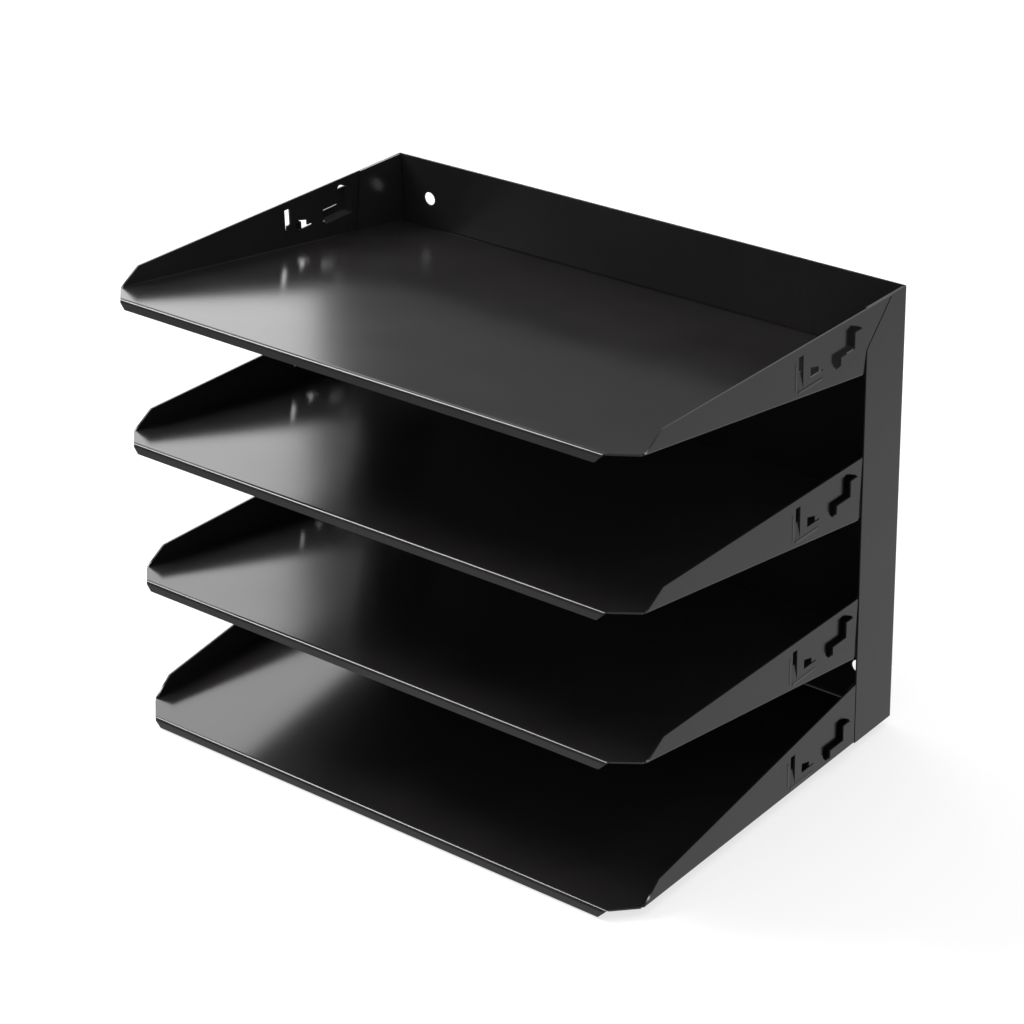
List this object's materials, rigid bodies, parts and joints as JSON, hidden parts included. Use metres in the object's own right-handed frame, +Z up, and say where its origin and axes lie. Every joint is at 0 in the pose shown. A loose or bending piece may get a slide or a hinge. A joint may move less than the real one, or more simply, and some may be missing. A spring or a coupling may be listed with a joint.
{
  "type": "letter tray stack",
  "caption": "Black folded-steel letter tray stack: open trays welded between the side flanges of one back panel, standing on small rubber feet or screwed to a wall.",
  "frame": {"origin": "On the table, under the middle of the stack: the centre of the bounding box's bottom face, at the underside of the feet.", "axes": "+Z is up. -Y is the open front of the trays and +Y is the back panel's side. +X is to the right of someone who looks at the front."},
  "size_m": [0.3162, 0.2222, 0.2405],
  "materials": {
    "black_steel": "semi-gloss black powder coat",
    "black_rubber": "matt black"
  },
  "bodies": {
    "root": {"back_panel": "black_steel", "tray_top": "black_steel", "tray_upper_middle": "black_steel", "tray_lower_middle": "black_steel", "tray_bottom": "black_steel", "foot_front_left": "black_rubber", "foot_front_right": "black_rubber", "foot_rear_left": "black_rubber", "foot_rear_right": "black_rubber"}
  },
  "joints": []
}
